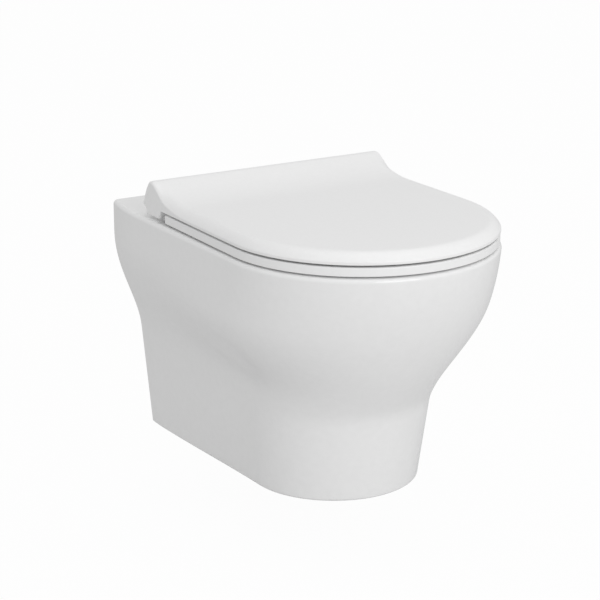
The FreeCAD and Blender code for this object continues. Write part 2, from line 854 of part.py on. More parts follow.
def make_wing_nuts():
    body = new_body("wing_nuts")
    top = UNDERSIDE - size("cone_height") - size("washer_thickness")
    bottom = top - size("nut_height")
    hub = new_sketch(body, "XY_Plane", bottom)
    wings = new_sketch(body, "XY_Plane", bottom)
    half_span = size("nut_wing_span") / 2
    half_wing = size("nut_wing_thickness") / 2
    for side in (-1, 1):
        x = HALF_HINGE * side
        draw_circle(hub, x, AXIS_Y, size("nut_radius"))
        draw_box(wings, x - half_span, AXIS_Y - half_wing,
                 x + half_span, AXIS_Y + half_wing)
    pad(body, hub, size("nut_height"))
    pad(body, wings, size("nut_wing_height"))
    bores = new_sketch(body, "XY_Plane", top)
    for side in (-1, 1):
        draw_circle(bores, HALF_HINGE * side, AXIS_Y, size("bolt_radius"))
    pocket(body, bores, size("nut_height"))
    return body


def make_insert(name, side, outwards):
    """A damper or a plain bush: a flanged sleeve pressed into a knuckle. The
    seat's knuckle is on the inner side of the bracket, the lid's on the outer."""
    body = new_body(name)
    bore = size("pin_radius") + size("running_gap")
    flange_start = HALF_BARREL + size("flange_gap")
    sign = side if outwards else -side
    start, length = insert_span(side, sign, KNUCKLE_START, KNUCKLE_END)
    rod(body, start, length, size("knuckle_bore_radius"), bore)
    start, length = insert_span(side, sign, flange_start, KNUCKLE_START)
    rod(body, start, length, size("flange_radius"), bore)
    return body


def insert_span(side, sign, near, far):
    """Start and length along the hinge line of something near to far away from
    the middle of one hinge, towards plus or minus X as sign says."""
    middle = HALF_HINGE * side
    if sign > 0:
        return middle + near, far - near
    return middle - far, far - near


def buffer_places():
    angle = size("front_buffer_angle")
    across = BUFFER_RING * angle.sine()
    front = SEAT_CENTRE_Y - BUFFER_RING * angle.cosine()
    back = -size("back_buffer_depth")
    for side in (-1, 1):
        yield across * side, front
        yield BUFFER_RING * side, back


# ---------------------------------------------------------------- seat ring

def make_seat_ring():
    body = new_body("seat_ring")
    outline = new_sketch(body, "XY_Plane", SEAT_BOTTOM)
    notch = HALF_HINGE + KNUCKLE_END + size("seat_notch_gap")
    draw_loop(outline, [
        (-SEAT_HALF_BACK, -SEAT_HEEL), (-SEAT_HALF, SEAT_CENTRE_Y), (ZERO, -SEAT_FRONT),
        (SEAT_HALF, SEAT_CENTRE_Y), (SEAT_HALF_BACK, -SEAT_HEEL),
        (notch, -SEAT_HEEL), (notch, -SEAT_NOTCH),
        (-notch, -SEAT_NOTCH), (-notch, -SEAT_HEEL),
    ], {1: (SEAT_HALF, -1), 2: (SEAT_HALF, -1)})
    hole = SEAT_HALF - size("seat_band_side")
    hole_back = SEAT_NOTCH + size("seat_band_back")
    hole_front = SEAT_FRONT - size("seat_band_front")
    rear_y = -(hole_back + hole)
    front_y = -(hole_front - hole)
    draw_loop(outline, [
        (hole, rear_y), (ZERO, -hole_back), (-hole, rear_y),
        (-hole, front_y), (ZERO, -hole_front), (hole, front_y),
    ], {i: (hole, -1) for i in (0, 1, 3, 4)})
    pad(body, outline, size("seat_thickness"))
    round_edges(body, is_seat_corner, size("seat_heel_round"))
    round_edges(body, lambda e: e.BoundBox.ZLength < NEAR, size("seat_edge_round"))

    holes = new_sketch(body, "XY_Plane", SEAT_BOTTOM)
    for x, y in buffer_places():
        draw_circle(holes, x, y, size("buffer_peg_radius"))
    pocket(body, holes, size("buffer_peg_length"), Reversed=True)

    root = -(SEAT_NOTCH + size("arm_root"))
    clear = -(SEAT_NOTCH - size("arm_root"))
    half_arm = size("arm_thickness") / 2
    half_height = size("arm_half_height")
    for side in (-1, 1):
        start, length = insert_span(side, -side, KNUCKLE_START, KNUCKLE_END)
        arm = new_sketch(body, "YZ_Plane", start)
        draw_loop(arm, [
            (root, SEAT_BOTTOM + size("seat_edge_round")),
            (clear, SEAT_BOTTOM + size("seat_edge_round")),
            (AXIS_Y - half_arm, AXIS_Z - half_height),
            (AXIS_Y, AXIS_Z),
            (AXIS_Y - half_arm, AXIS_Z + half_height),
            (clear, SEAT_TOP),
            (root, SEAT_TOP),
        ])
        pad(body, arm, length)
        rod(body, start, length, size("knuckle_radius"))
        drill(body, "YZ_Plane", start, AXIS_Y, AXIS_Z, size("knuckle_bore_radius"),
              length, Reversed=True)
    return body


def is_seat_corner(edge):
    """The upright corners of the seat's two heels, behind the opening."""
    box = edge.BoundBox
    return (box.XLength < NEAR and box.YLength < NEAR
            and box.YMin > -SEAT_NOTCH.value - NEAR)


def make_seat_buffers():
    body = new_body("seat_buffers")
    discs = new_sketch(body, "XY_Plane", SEAT_BOTTOM)
    pegs = new_sketch(body, "XY_Plane", SEAT_BOTTOM)
    for x, y in buffer_places():
        draw_circle(discs, x, y, size("seat_buffer_radius"))
        draw_circle(pegs, x, y, size("buffer_peg_radius"))
    pad(body, discs, size("seat_lift") - size("buffer_gap"), Reversed=True)
    pad(body, pegs, size("buffer_peg_length"))
    return body


# ---------------------------------------------------------------- lid

RUN_OUT = size("axis_depth") + size("hood_reach")
SLOPE_DEPTH = size("axis_depth") + size("hood_slope_ahead")
SLOPE_HEIGHT = LID_TOP + size("hood_slope_rise")
CROWN_FRONT = size("axis_depth") + size("hood_crown_ahead")
CROWN_HEIGHT = LID_TOP + size("hood_crown_rise")
CROWN_BACK = size("axis_depth") - size("hood_crown_behind")
CROWN_BACK_HEIGHT = CROWN_HEIGHT - size("hood_crown_drop")
TAIL_DEPTH = size("axis_depth") - size("hood_tail_behind")
TAIL_HEIGHT = LID_TOP - size("hood_tail_drop")
HOOD_BACK = size("axis_depth") - size("hood_back_behind")
HEEL_HEIGHT = LID_TOP - size("hood_heel_drop")
HOOD_FOOT_DEPTH = size("axis_depth") - size("hood_foot_behind")
HOOD_FOOT_HEIGHT = LID_TOP - size("hood_foot_drop")
LID_HALF_BACK = SEAT_HALF_BACK + size("lid_overhang")


def draw_lid_outline(sketch, inset, back):
    """The lid from above: two nearly straight sides and a half round front."""
    half = SEAT_HALF + size("lid_overhang") - inset
    half_back = LID_HALF_BACK - inset
    draw_loop(sketch, [
        (-half_back, back), (-half, SEAT_CENTRE_Y),
        (ZERO, SEAT_CENTRE_Y - half), (half, SEAT_CENTRE_Y), (half_back, back),
    ], {1: (half, -1), 2: (half, -1)})


def make_lid():
    body = new_body("lid")
    beyond = -(SEAT_FRONT + TRIM)
    side = new_sketch(body, "YZ_Plane")
    draw_loop(side, [
        (beyond, LID_TOP), (-RUN_OUT, LID_TOP), (-SLOPE_DEPTH, SLOPE_HEIGHT),
        (-CROWN_FRONT, CROWN_HEIGHT), (-CROWN_BACK, CROWN_BACK_HEIGHT),
        (-TAIL_DEPTH, TAIL_HEIGHT), (-HOOD_BACK, HEEL_HEIGHT),
        (-HOOD_FOOT_DEPTH, HOOD_FOOT_HEIGHT),
        (AXIS_Y - size("hood_foot_run"), LID_BOTTOM), (beyond, LID_BOTTOM),
    ], {1: (size("hood_sweep_radius"), -1), 3: (size("hood_crown_radius"), 1),
        4: (size("hood_back_radius"), 1), 6: (size("hood_heel_radius"), 1)})
    pad(body, side, (SEAT_HALF + TRIM) * 2, Midplane=True)

    around = new_sketch(body, "XY_Plane", CROWN_HEIGHT + TRIM)
    wide = SEAT_HALF + TRIM * 2
    draw_box(around, -wide, beyond - TRIM, wide, ZERO)
    draw_lid_outline(around, ZERO, -HOOD_BACK + TRIM)
    pocket(body, around, CROWN_HEIGHT - HOOD_FOOT_HEIGHT + TRIM * 2)
    round_edges(body, is_lid_top_edge, size("lid_edge_round"))

    # the plate is hollow underneath, inside a rim
    ceiling = LID_TOP - size("lid_plate")
    hollow_front = RUN_OUT - size("hood_hollow_start")
    recess = new_sketch(body, "XY_Plane", LID_BOTTOM - TRIM)
    draw_lid_outline(recess, size("lid_rim_width"), -(hollow_front - size("hollow_lap")))
    pocket(body, recess, ceiling - LID_BOTTOM + TRIM, Reversed=True)

    # the hood is hollow as well, open below, with a wall at each end
    shell = size("hood_shell")
    hollow = new_sketch(body, "YZ_Plane")
    low = HOOD_FOOT_HEIGHT - TRIM
    draw_loop(hollow, [
        (-(TAIL_DEPTH + shell), low), (-(TAIL_DEPTH + shell), TAIL_HEIGHT),
        (-(CROWN_BACK + shell / 2), CROWN_BACK_HEIGHT - shell),
        (-CROWN_FRONT, CROWN_HEIGHT - shell), (-SLOPE_DEPTH, SLOPE_HEIGHT - shell),
        (-hollow_front, ceiling), (-hollow_front, low),
    ])
    pocket(body, hollow, (LID_HALF_BACK - shell) * 2, Midplane=True)

    # behind each hinge the hood's back is open so that it can swing past
    windows = new_sketch(body, "XZ_Plane", HOOD_BACK - TRIM)
    half_window = KNUCKLE_END + size("window_gap")
    for side in (-1, 1):
        draw_box(windows, HALF_HINGE * side - half_window, low,
                 HALF_HINGE * side + half_window, LID_TOP + size("window_rise"))
    pocket(body, windows, CROWN_BACK - HOOD_BACK + TRIM + OVERRUN, Reversed=True)

    half_web = size("web_thickness") / 2
    for side in (-1, 1):
        start, length = insert_span(side, side, KNUCKLE_START, KNUCKLE_END)
        web = new_sketch(body, "YZ_Plane", start)
        draw_box(web, AXIS_Y - half_web, AXIS_Z,
                 AXIS_Y + half_web, CROWN_BACK_HEIGHT - shell + OVERRUN)
        pad(body, web, length)
        rod(body, start, length, size("knuckle_radius"))
        drill(body, "YZ_Plane", start, AXIS_Y, AXIS_Z, size("knuckle_bore_radius"),
              length, Reversed=True)
    return body


def is_lid_top_edge(edge):
    """The lid's upper edge all round: front, sides, slope, crown and back."""
    box = edge.BoundBox
    on_plate = box.ZMin > LID_TOP.value - NEAR
    on_hood = (box.YMin > -SLOPE_DEPTH.value - NEAR
               and box.ZMax > HEEL_HEIGHT.value + NEAR)
    runs_across = box.YLength < NEAR and box.ZLength < NEAR
    return (on_plate or on_hood) and not runs_across


def make_lid_buffers():
    body = new_body("lid_buffers")
    sketch = new_sketch(body, "XY_Plane", SEAT_TOP + size("buffer_gap"))
    for x, y in buffer_places():
        draw_circle(sketch, x, y, size("lid_buffer_radius"))
    pad(body, sketch, LID_TOP - size("lid_plate") - SEAT_TOP - size("buffer_gap"))
    return body


def make_all():
    """Every sub-part, each under the name of its file."""
    bodies = [make_pan(), make_bowl(), make_trapway(), make_inlet_socket()]
    bodies += [make_stud_sleeves(), make_hinge_pads()]
    for word, side in (("left", -1), ("right", 1)):
        bodies.append(make_hinge_bracket("hinge_bracket_" + word, side))
        bodies.append(make_hinge_pin("hinge_pin_" + word, side))
    bodies.append(make_seat_studs())
    bodies.append(make_cone_washers())
    bodies.append(make_seat_washers())
    bodies.append(make_wing_nuts())
    bodies.append(make_seat_ring())
    bodies.append(make_seat_buffers())
    bodies.append(make_insert("seat_damper", -1, False))
    bodies.append(make_insert("seat_bush", 1, False))
    bodies.append(make_lid())
    bodies.append(make_lid_buffers())
    bodies.append(make_insert("lid_bush", -1, True))
    bodies.append(make_insert("lid_damper", 1, True))
    return bodies


bodies = make_all()
doc.recompute()

for item in doc.Objects:
    if "Invalid" in item.State or "Error" in item.State:
        raise ValueError("%s is not in order: %s" % (item.Name, item.State))
for body in bodies:
    if body.Shape.isNull() or not body.Shape.isValid() or not body.Shape.Solids:
        raise ValueError("%s has no sound shape" % body.Label)

os.makedirs("parts", exist_ok=True)
for body in bodies:
    body.Shape.exportStep("parts/%s.step" % body.Label)
    print(body.Label, len(body.Shape.Solids), "solids", round(body.Shape.Volume), "mm3")
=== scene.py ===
# %% [markdown]
# # A wall hung toilet, dressed for its photograph
#
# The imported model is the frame: it says where every piece lies and how the
# seat and the lid swing. This lesson puts the surfaces on it that catch the
# light: the glazed pan, the seat ring, the lid and what the hinges show.
# Sizes are written in millimetres above the pan's bottom edge, as they were
# read from the photograph, and turned into the row's metres at one place.

# %% Load the frame
import math

import bmesh
import bpy
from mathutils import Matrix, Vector


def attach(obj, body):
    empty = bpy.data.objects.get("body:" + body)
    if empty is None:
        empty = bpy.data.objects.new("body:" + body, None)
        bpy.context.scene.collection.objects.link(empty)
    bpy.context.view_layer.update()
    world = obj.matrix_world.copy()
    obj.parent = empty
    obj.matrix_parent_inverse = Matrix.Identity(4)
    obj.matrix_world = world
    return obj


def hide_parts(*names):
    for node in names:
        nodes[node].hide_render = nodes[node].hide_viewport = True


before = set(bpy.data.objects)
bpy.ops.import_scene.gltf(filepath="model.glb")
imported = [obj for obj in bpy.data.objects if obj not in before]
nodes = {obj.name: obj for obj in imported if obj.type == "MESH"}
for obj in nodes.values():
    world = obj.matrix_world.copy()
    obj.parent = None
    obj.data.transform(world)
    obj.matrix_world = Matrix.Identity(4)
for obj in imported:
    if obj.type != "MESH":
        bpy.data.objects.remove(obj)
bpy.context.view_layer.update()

# %% [markdown]
# ## From millimetres to the row's frame
#
# The row's origin lies between the two wall studs, 252 mm above the pan's
# bottom edge. Every outline below is a list of points in millimetres, and
# `place` moves one to where it belongs.

# %% Units and small curves
STUD_HEIGHT = 252.0


def place(x, y, z):
    """Millimetres over the foot, as a point in the row's metres."""
    return Vector((x, y, z - STUD_HEIGHT)) * 0.001


def smoothstep(t):
    """From 0 to 1 with a soft start and a soft end."""
    t = min(max(t, 0.0), 1.0)
    return t * t * (3.0 - 2.0 * t)


def mix(a, b, t):
    """The value t of the way from a to b."""
    return a + (b - a) * t


def arc(start, end, radius, side, count):
    """Points of the short arc between two points of a plane. side is 1 when it
    bulges to the left of the way from start to end, and -1 to the right."""
    ax, ay = start
    bx, by = end
    half = math.hypot(bx - ax, by - ay) / 2
    ux, uy = (bx - ax) / (2 * half), (by - ay) / (2 * half)
    back_off = math.sqrt(max(radius * radius - half * half, 0.0))
    cx = (ax + bx) / 2 + uy * back_off * side
    cy = (ay + by) / 2 - ux * back_off * side
    first = math.atan2(ay - cy, ax - cx)
    last = math.atan2(by - cy, bx - cx)
    turn = (last - first + math.pi) % (2 * math.pi) - math.pi
    angles = [first + turn * i / count for i in range(count + 1)]
    return [(cx + radius * math.cos(a), cy + radius * math.sin(a)) for a in angles]


print("curve helpers ready")

# %% [markdown]
# ## Making and carving meshes
#
# A hollow body such as the pan is one long sleeve of closed loops: down the
# bowl, over the rim, down the outside, under the foot and up again inside.
# `sleeve` joins such loops with quads. Bores and openings are carved out
# afterwards with solids of their own, and tubes are joined on the same way.

# %% Mesh helpers
def new_object(name, bm):
    """Cleans a mesh, turns its faces outwards and puts it in the scene."""
    bmesh.ops.remove_doubles(bm, verts=bm.verts, dist=1e-7)
    bmesh.ops.recalc_face_normals(bm, faces=bm.faces)
    mesh = bpy.data.meshes.new(name)
    bm.to_mesh(mesh)
    bm.free()
    obj = bpy.data.objects.new(name, mesh)
    bpy.context.scene.collection.objects.link(obj)
    return obj


def bridge(bm, lower, upper, closed=True):
    """Faces between two rows; a quad with a shared corner becomes a triangle."""
    count = len(lower)
    for i in range(count if closed else count - 1):
        j = (i + 1) % count
        corners = []
        for vert in (lower[i], lower[j], upper[j], upper[i]):
            if vert not in corners:
                corners.append(vert)
        if len(corners) > 2:
            bm.faces.new(corners)


def sleeve(name, loops):
    """A closed body from loops with equally many points, capped at both ends."""
    bm = bmesh.new()
    rows = [[bm.verts.new(place(*p)) for p in loop] for loop in loops]
    for lower, upper in zip(rows, rows[1:]):
        bridge(bm, lower, upper)
    bm.faces.new(rows[0])
    bm.faces.new(rows[-1])
    return new_object(name, bm)


def carve(target, tool, kind="DIFFERENCE"):
    """Cuts the tool's solid out of the target, or joins it on, and uses it up."""
    change = target.modifiers.new("carve", "BOOLEAN")
    change.operation = kind
    change.solver = "MANIFOLD"
    change.object = tool
    graph = bpy.context.evaluated_depsgraph_get()
    mesh = bpy.data.meshes.new_from_object(target.evaluated_get(graph))
    target.modifiers.clear()
    assert len(mesh.vertices) != len(target.data.vertices), tool.name + " changed nothing"
    old = target.data
    target.data = mesh
    mesh.name = target.name
    bpy.data.meshes.remove(old)
    bpy.data.meshes.remove(tool.data)


def join(target, tool):
    """Joins the tool's solid on."""
    carve(target, tool, "UNION")


def ring_points(centre, axis, radius, count=48):
    """Points of a circle round a centre, in the plane square to axis."""
    axis = Vector(axis).normalized()
    across = Vector((1, 0, 0)) if abs(axis.x) < 0.9 else Vector((0, 0, 1))
    across = (across - axis * across.dot(axis)).normalized()
    up = axis.cross(across)
    centre = Vector(centre)
    loop = []
    for i in range(count):
        a = 2 * math.pi * i / count
        loop.append(tuple(centre + (across * math.cos(a) + up * math.sin(a)) * radius))
    return loop


def rod(name, start, end, radius, edge=0.0, count=48):
    """A round bar between two points, its ends eased by edge."""
    start, end = Vector(start), Vector(end)
    axis = (end - start).normalized()
    loops = []
    if edge:
        loops.append(ring_points(start, axis, radius - edge, count))
        loops.append(ring_points(start + axis * edge * 0.3, axis, radius - edge * 0.3, count))
    loops.append(ring_points(start + axis * edge, axis, radius, count))
    loops.append(ring_points(end - axis * edge, axis, radius, count))
    if edge:
        loops.append(ring_points(end - axis * edge * 0.3, axis, radius - edge * 0.3, count))
        loops.append(ring_points(end, axis, radius - edge, count))
    return sleeve(name, loops)


def tube(name, path, radius, count=48):
    """A round bar that follows a path of points lying in the plane x = 0."""
    loops = []
    for i, point in enumerate(path):
        before = Vector(path[max(i - 1, 0)])
        after = Vector(path[min(i + 1, len(path) - 1)])
        loops.append(ring_points(point, after - before, radius, count))
    return sleeve(name, loops)


def block(name, low, high):
    """A box between two corners."""
    x0, y0, z0 = low
    x1, y1, z1 = high
    plan = [(x0, y0), (x1, y0), (x1, y1), (x0, y1)]
    return sleeve(name, [[(x, y, z) for x, y in plan] for z in (z0, z1)])


def prism(name, outline, x0, x1):
    """A side outline of (y, z) points drawn out along X."""
    return sleeve(name, [[(x, y, z) for y, z in outline] for x in (x0, x1)])


def finish_surface(obj, body, angle=32.0):
    """Smooth shading with crisp edges where faces meet at more than an angle. The
    shading of wide flat faces wins over that of the narrow ones beside them."""
    mesh = obj.data
    mesh.shade_smooth()
    mesh.set_sharp_from_angle(angle=math.radians(angle))
    weighted = obj.modifiers.new("face_weighted", "WEIGHTED_NORMAL")
    weighted.keep_sharp = True
    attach(obj, body)
    print(obj.name, "-", len(mesh.vertices), "points,", len(mesh.polygons), "faces")


print("mesh helpers ready")

# %% [markdown]
# ## The pan's outside
#
# Seen from above the pan is a D at every height: a straight back on the wall,
# a flare, nearly straight sides and a half round front. Three numbers change
# with height: the half width at the wall, the half width of the front and how
# far the tip reaches out. Each follows a raked skirt below and swells into the
# bowl above, which gives the soft S on the side and at the front.

# %% The pan's outline at any height
PAN_TOP = 326.8
RIM_FALL = 1.0
RIM_ROUND = 6.0
SKIN = 12.0
BACK = 14.0
FLARE = 360.0


def swell(z, foot, rake, top, start, end, lead=1.0):
    """Skirt value that grows into the top value, averaged over a few heights so
    that the curvature has no jump."""
    total = 0.0
    for shift in (-8.0, -4.0, 0.0, 4.0, 8.0):
        t = min(max((z + shift - start) / (end - start), 0.0), 1.0)
        total += smoothstep(t ** lead)
    skirt = foot + rake * z
    return skirt + (top - skirt) * total / 5


def pan_loop(z, inset=0.0, back=0.0):
    """The D at a height, with its points in fixed numbers for each stretch."""
    wall = swell(z, 115.5, 0.102, 168.2, 144.7, 283.7) - inset
    front = swell(z, 110.9, 0.102, 179.5, 138.7, 248.2) - inset
    bulge = swell(z, 1.2, 0.0, 11.3, 138.7, 283.7)
    tip = swell(z, 399.6, 0.166, 527.6, 110.8, 359.9, 0.707) - inset
    side = wall + bulge
    flare_depth = math.sqrt(bulge * (2 * FLARE - bulge)) + back
    centre = -(tip - front)
    half = []
    for x, y in arc((wall, -back), (side, -flare_depth), FLARE, 1, 10)[:-1]:
        half.append((x, y))
    for i in range(26):
        t = i / 26
        half.append((mix(side, front, smoothstep(t)), mix(-flare_depth, centre, t)))
    for i in range(49):
        a = math.pi / 2 * i / 48
        half.append((front * math.cos(a), centre - front * math.sin(a)))
    loop = [(x, y, z) for x, y in half]
    loop += [(-x, y, z) for x, y in reversed(half[:-1])]
    for i in range(1, 24):
        loop.append((mix(-wall, wall, i / 24), -back, z))
    return loop


print("points in each loop:", len(pan_loop(0.0)))

# %% [markdown]
# ## The bowl
#
# The bowl's rim is a stadium, and it narrows to a small sump over the trap.
# Its points are found along the same directions as the pan's own outline, so
# that the loops of the deck run evenly from one to the other.

# %% The bowl's outline at any height
BOWL_FLOOR = 84.0
BOWL_CENTRE = -262.0
DIRECTIONS = [math.atan2(y - BOWL_CENTRE, x) for x, y, z in pan_loop(PAN_TOP)]


def stadium_loop(z, half, back, front):
    """A stadium between two depths, met along each of the loop's directions."""
    rear, fore = -(back + half), -(front - half)
    loop = []
    for a in DIRECTIONS:
        ux, uy = math.cos(a), math.sin(a)
        reach = half / abs(ux) if abs(ux) > 1e-9 else 1e9
        y = BOWL_CENTRE + uy * reach
        if y > rear or y < fore:
            middle = rear if y > rear else fore
            off = BOWL_CENTRE - middle
            b = uy * off
            reach = -b + math.sqrt(b * b - off * off + half * half)
        loop.append((ux * reach, BOWL_CENTRE + uy * reach, z))
    return loop


def bowl_loop(z, grow=0.0):
    """The bowl's inside at a height, wider by grow."""
    rise = min(max((z - BOWL_FLOOR) / (PAN_TOP - BOWL_FLOOR), 0.0), 1.0)
    bulge = math.sqrt(rise * (2.0 - rise))
    half = mix(33.0, 122.0, bulge) + grow
    back = mix(224.0, 190.0, rise) - grow
    front = mix(298.0, 470.0, bulge) + grow
    return stadium_loop(z, half, back, front)


print("bowl mouth:", len(bowl_loop(PAN_TOP)), "points")

# %% [markdown]
# ## The pan in one piece
#
# The sleeve starts at the sump, climbs the bowl, rolls over its lip onto the
# deck, rolls over the outer rim, runs down the S and turns under the foot.
# From there it climbs back inside the skin and round the outside of the bowl.

# %% Build the pan's shell
LIP = 8.0
FOOT_EDGE = 3.0
UNDERSIDE = 305.0


def quarter(count):
    """Angles from 0 to a right angle."""
    return [math.pi / 2 * i / count for i in range(count + 1)]


pan_loops = [stadium_loop(BOWL_FLOOR, 8.0, 250.0, 274.0),
             stadium_loop(BOWL_FLOOR, 22.0, 235.0, 287.0)]
for i in range(37):
    rise = (i / 36) ** 1.7
    pan_loops.append(bowl_loop(mix(BOWL_FLOOR, PAN_TOP - LIP, rise)))
for t in quarter(7)[1:]:
    z = PAN_TOP - LIP * (1 - math.sin(t))
    pan_loops.append(bowl_loop(z, LIP * (1 - math.cos(t))))
deck_inner = bowl_loop(PAN_TOP, LIP)
deck_outer = pan_loop(PAN_TOP, RIM_ROUND)
for share in (0.3, 0.65, 0.85, 0.95):
    z = PAN_TOP - RIM_FALL * share ** 4
    pan_loops.append([(mix(a[0], b[0], share), mix(a[1], b[1], share), z)
                      for a, b in zip(deck_inner, deck_outer)])
RIM_TOP = PAN_TOP - RIM_FALL
for t in reversed(quarter(8)):
    z = RIM_TOP - RIM_ROUND * (1 - math.sin(t))
    pan_loops.append(pan_loop(z, RIM_ROUND * (1 - math.cos(t))))
for i in range(1, 97):
    pan_loops.append(pan_loop(mix(RIM_TOP - RIM_ROUND, FOOT_EDGE, i / 96)))
for t in quarter(4)[1:]:
    pan_loops.append(pan_loop(FOOT_EDGE * (1 - math.sin(t)), FOOT_EDGE * (1 - math.cos(t))))
for t in reversed(quarter(4)):
    z = FOOT_EDGE * (1 - math.sin(t))
    pan_loops.append(pan_loop(z, SKIN - FOOT_EDGE * (1 - math.cos(t)), BACK))
for i in range(1, 21):
    pan_loops.append(pan_loop(mix(FOOT_EDGE, UNDERSIDE, i / 20), SKIN, BACK))
for i in range(17):
    pan_loops.append(bowl_loop(mix(UNDERSIDE, 90.0, i / 16), 10.0))
pan_loops.append(bowl_loop(74.0, 8.0))

pan = sleeve("pan_body", pan_loops)
print("pan shell:", len(pan.data.polygons), "faces")

# %% [markdown]
# ## Water ways and holes
#
# The trap is a bent pipe from the sump, down, over the crest and out to the
# wall. It stops inside the bowl's wall, so its end is cut with a slightly
# larger bowl first. Then the spigot, the flush inlet and the bosses for the
# wall studs are joined on, and everything is bored.

# %% Trap, spigot, inlet, bosses and bores
TRAP_CORNERS = [(-290.0, 118.0), (-238.0, 58.0), (-165.0, 170.0), (-105.0, 152.0),
                (-50.0, 152.0)]
TRAP_BENDS = [40.0, 42.0, 60.0]
TRAP_OUTSIDE, TRAP_INSIDE = 37.0, 28.0
SPIGOT_HEIGHT, SPIGOT_LENGTH = 152, 66
SPIGOT_OUTSIDE, SPIGOT_INSIDE = 51.0, 43.0
INLET_HEIGHT, INLET_OUTSIDE, INLET_INSIDE = 287, 36.5, 27.5
STUD_X, HINGE_X = 90, 77.5
PAST = 5


def bent_path(corners, bends):
    """Points of straight runs with a round bend at each inner corner."""
    path = [Vector((0, *corners[0]))]
    for i, bend in enumerate(bends):
        before, corner, after = (Vector((0, *c)) for c in corners[i:i + 3])
        arrive = (corner - before).normalized()
        leave = (after - corner).normalized()
        turn = arrive.angle(leave)
        set_back = bend * math.tan(turn / 2)
        inward = (leave - arrive).normalized()
        centre = corner + inward * (bend / math.cos(turn / 2))
        first = corner - arrive * set_back - centre
        for k in range(13):
            a = turn * k / 12
            path.append(centre + first * math.cos(a) + arrive * bend * math.sin(a))
    path.append(Vector((0, *corners[-1])))
    return path


def bowl_room():
    """The bowl's inside, 3 mm wider, to cut the ends of the pipes with."""
    return sleeve("bowl_room", [bowl_loop(mix(82.0, PAN_TOP + 3, i / 24), 3.0)
                                for i in range(25)])


water_way = bent_path(TRAP_CORNERS, TRAP_BENDS)
trap = tube("trap", water_way, TRAP_OUTSIDE)
carve(trap, bowl_room())
carve(pan, rod("outlet_room", (0, PAST, SPIGOT_HEIGHT), (0, -16, SPIGOT_HEIGHT), 66.0, count=96))
join(pan, trap)
join(pan, rod("spigot", (0, 0, SPIGOT_HEIGHT), (0, -SPIGOT_LENGTH, SPIGOT_HEIGHT),
              SPIGOT_OUTSIDE, 1.5, 96))
inlet = rod("inlet", (0, -6, INLET_HEIGHT), (0, -215, INLET_HEIGHT), INLET_OUTSIDE, count=64)
carve(inlet, bowl_room())
join(pan, inlet)
for side in (-1, 1):
    join(pan, rod("boss", (STUD_X * side, -6, 252), (STUD_X * side, -36, 252), 20.0, 2.0))
carve(pan, tube("trap_bore", water_way, TRAP_INSIDE))
carve(pan, rod("spigot_bore", (0, PAST, SPIGOT_HEIGHT), (0, -58, SPIGOT_HEIGHT),
               SPIGOT_INSIDE, count=96))
carve(pan, rod("inlet_bore", (0, PAST, INLET_HEIGHT), (0, -50, INLET_HEIGHT),
               INLET_INSIDE, count=64))
carve(pan, block("flush_slot", (-24, -216, 276), (24, -40, 298)))
for side in (-1, 1):
    carve(pan, rod("stud_hole", (STUD_X * side, PAST, 252), (STUD_X * side, -45, 252), 10.0))
    carve(pan, rod("deck_hole", (HINGE_X * side, -118, 300), (HINGE_X * side, -118, 330), 7.0))
finish_surface(pan, "pan")
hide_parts("pan", "bowl", "trapway", "inlet_socket")

# %% [markdown]
# ## The lid's side outline
#
# From the front the lid is a thin flat plate. Towards the wall it sweeps up to
# a crown, drops steeply behind it and ends in a rounded heel just over the
# deck, so that the hinges are hidden. The upper and the lower line are kept as
# pairs of points, one over the other, which close at the heel.

# %% Upper and lower line of the lid
LID_TOP = 357.2
LID_BOTTOM = 342.4
LID_CENTRE = -347.1
LID_FRONT = 177.3
HEEL_Y = -98.4
HEEL_TOP = 341.5
HOOD_FOOT = 329.8


def spaced(start, end, count):
    """Points at even distances on a straight line."""
    return [(mix(start[0], end[0], i / count), mix(start[1], end[1], i / count))
            for i in range(count + 1)]


upper = spaced((LID_CENTRE, LID_TOP), (-222.0, LID_TOP), 10)
upper += arc((-215.0, LID_TOP), (-143.0, 370.0), 209.0, -1, 30)[1:]
upper += spaced((-143.0, 370.0), (-129.0, 375.1), 4)[1:]
upper += arc((-129.0, 375.1), (-114.5, 374.6), 16.0, 1, 12)[1:]
upper += arc((-114.5, 374.6), (-100.6, 351.0), 80.0, 1, 12)[1:]
upper += spaced((-100.6, 351.0), (HEEL_Y, HEEL_TOP), 5)[1:]
for _ in range(2):
    eased = [((a[0] + 2 * b[0] + c[0]) / 4, (a[1] + 2 * b[1] + c[1]) / 4)
             for a, b, c in zip(upper, upper[1:], upper[2:])]
    upper = [upper[0]] + eased + [upper[-1]]

heel = arc((HEEL_Y, HEEL_TOP), (-107.0, HOOD_FOOT), 10.5, -1, 16)


def lower_height(y):
    """The lid's lower line: flat, then down to the foot of the hood."""
    if y <= -150.0:
        return LID_BOTTOM
    if y <= -107.0:
        return mix(LID_BOTTOM, HOOD_FOOT, smoothstep((y + 150.0) / 10.0))
    for (ya, za), (yb, zb) in zip(heel, heel[1:]):
        if yb <= y <= ya:
            return mix(za, zb, (ya - y) / (ya - yb))
    return heel[0][1]


lower = [(y, lower_height(y)) for y, z in upper]
print("side outline:", len(upper), "pairs of points")

# %% [markdown]
# ## The lid as a solid
#
# Each point of the side outline is carried across the lid. Near the edge it
# sinks along the outline's own normal. The plate falls off over 15 mm in a
# soft curve that ends in a crisp crease, and the hood has a quarter round. At
# the heel both faces sink alike, so that the solid closes there. The front is
# a half disc made of rings with the same distances from the edge, so both
# parts share one seam.

